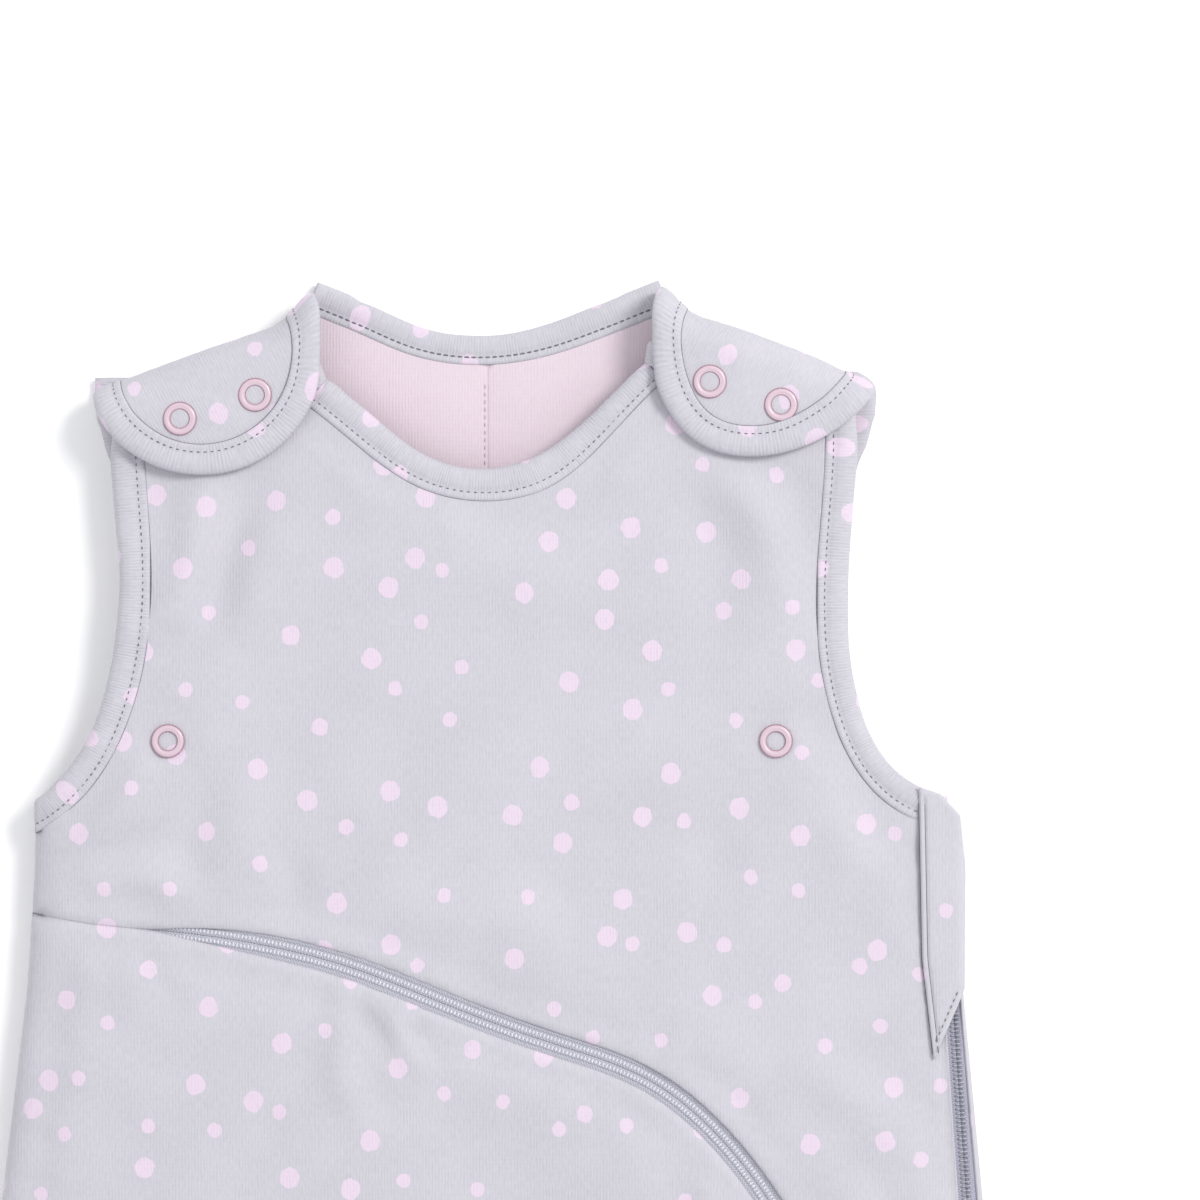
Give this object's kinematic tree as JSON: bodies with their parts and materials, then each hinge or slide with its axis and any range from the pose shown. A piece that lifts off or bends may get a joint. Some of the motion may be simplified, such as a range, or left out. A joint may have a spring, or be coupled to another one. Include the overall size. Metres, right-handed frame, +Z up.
{
  "type": "baby sleeping bag",
  "caption": "Padded sleeveless baby sleeping bag with snap shoulder flaps, a curved front zip and a side zip under a cloth guard, lying flat.",
  "frame": {"origin": "middle of the footprint, on the surface that the bag's back lies on", "axes": "+Z up through the front wall, +Y from the hem to the neck, +X towards the side with the side zip"},
  "size_m": [0.368, 0.7, 0.0209],
  "materials": {
    "outer_jersey": "pale grey cotton jersey with soft pink dots",
    "binding_jersey": "the same dotted jersey cut as binding, with its ribs across the strip",
    "lining_jersey": "plain pale pink cotton jersey",
    "wadding": "white polyester wadding",
    "snap_enamel": "pink enamelled prong ring",
    "snap_metal": "nickel-plated brass",
    "zip_tape": "woven polyester tape",
    "zip_coil": "polyester coil",
    "zip_slider": "silver-grey lacquered zinc"
  },
  "bodies": {
    "bag": {"armhole_back_snap_rings": "snap_enamel", "armhole_front_snap_rings": "snap_enamel", "armhole_snap_sockets": "snap_metal", "armhole_snap_studs": "snap_metal", "back_lining_left": "lining_jersey", "back_lining_right": "lining_jersey", "back_neck_binding": "binding_jersey", "back_outer_panel": "outer_jersey", "back_wadding": "wadding", "front_lower_lining": "lining_jersey", "front_lower_outer": "outer_jersey", "front_lower_wadding": "wadding", "front_neck_binding": "binding_jersey", "front_upper_lining": "lining_jersey", "front_upper_outer": "outer_jersey", "front_upper_wadding": "wadding", "front_zip_bottom_stop": "zip_coil", "front_zip_lower_coil_ends": "zip_coil", "front_zip_lower_tape_ends": "zip_tape", "front_zip_upper_coil": "zip_coil", "front_zip_upper_tape": "zip_tape", "hem_seam": "outer_jersey", "left_back_armhole_binding": "binding_jersey", "left_front_armhole_binding": "binding_jersey", "left_shoulder_fold": "outer_jersey", "left_side_seam": "outer_jersey", "left_strap_snap_rings": "snap_enamel", "left_strap_snap_studs": "snap_metal", "right_back_armhole_binding": "binding_jersey", "right_front_armhole_binding": "binding_jersey", "right_shoulder_fold": "outer_jersey", "right_side_fold": "outer_jersey", "right_strap_snap_rings": "snap_enamel", "right_strap_snap_studs": "snap_metal", "side_zip_back_coil": "zip_coil", "side_zip_back_tape": "zip_tape", "side_zip_bottom_stop": "zip_coil", "side_zip_front_coil": "zip_coil", "side_zip_front_tape": "zip_tape", "side_zip_guard": "outer_jersey"},
    "left_flap": {"left_flap_binding": "binding_jersey", "left_flap_lining": "lining_jersey", "left_flap_outer": "outer_jersey", "left_flap_snap_rings": "snap_enamel", "left_flap_snap_sockets": "snap_metal"},
    "right_flap": {"right_flap_binding": "binding_jersey", "right_flap_lining": "lining_jersey", "right_flap_outer": "outer_jersey", "right_flap_snap_rings": "snap_enamel", "right_flap_snap_sockets": "snap_metal"},
    "opening_flap": {"opening_flap_lining": "lining_jersey", "opening_flap_outer": "outer_jersey", "opening_flap_wadding": "wadding", "opening_flap_zip_coil": "zip_coil", "opening_flap_zip_tape": "zip_tape"},
    "front_slider": {"front_zip_slider": "zip_slider"},
    "front_pull": {"front_zip_pull": "zip_slider"},
    "side_slider": {"side_zip_slider": "zip_slider"},
    "side_pull": {"side_zip_pull": "zip_slider"}
  },
  "joints": [
    {"name": "left_flap_fold", "type": "hinge", "parent": "bag", "child": "left_flap", "pos_m": [-0.0855, 0.33115, 0.0177], "axis": [-0.9421, -0.3354, 0], "range_deg": [0, 170]},
    {"name": "right_flap_fold", "type": "hinge", "parent": "bag", "child": "right_flap", "pos_m": [0.084, 0.33325, 0.0177], "axis": [-0.9378, 0.3473, 0], "range_deg": [0, 170]},
    {"name": "opening_flap_fold", "type": "hinge", "parent": "bag", "child": "opening_flap", "pos_m": [0.01112, -0.06296, 0.0162], "axis": [0.4518, -0.8921, 0], "range_deg": [0, 165]},
    {"name": "front_slider_travel", "type": "slide", "parent": "bag", "child": "front_slider", "axis": [-0.0428, 0.9991, 0], "range_m": [0, 0.25]},
    {"name": "front_pull_swing", "type": "hinge", "parent": "front_slider", "child": "front_pull", "pos_m": [0.12372, -0.29351, 0.0182], "axis": [-0.9991, -0.0428, 0], "range_deg": [0, 165]},
    {"name": "side_slider_travel", "type": "slide", "parent": "bag", "child": "side_slider", "axis": [0.0704, -0.9975, 0], "range_m": [0, 0.405]},
    {"name": "side_pull_swing", "type": "hinge", "parent": "side_slider", "child": "side_pull", "pos_m": [0.13819, 0.16204, 0.0142], "axis": [-0.9975, -0.0704, 0], "range_deg": [0, 5]}
  ]
}
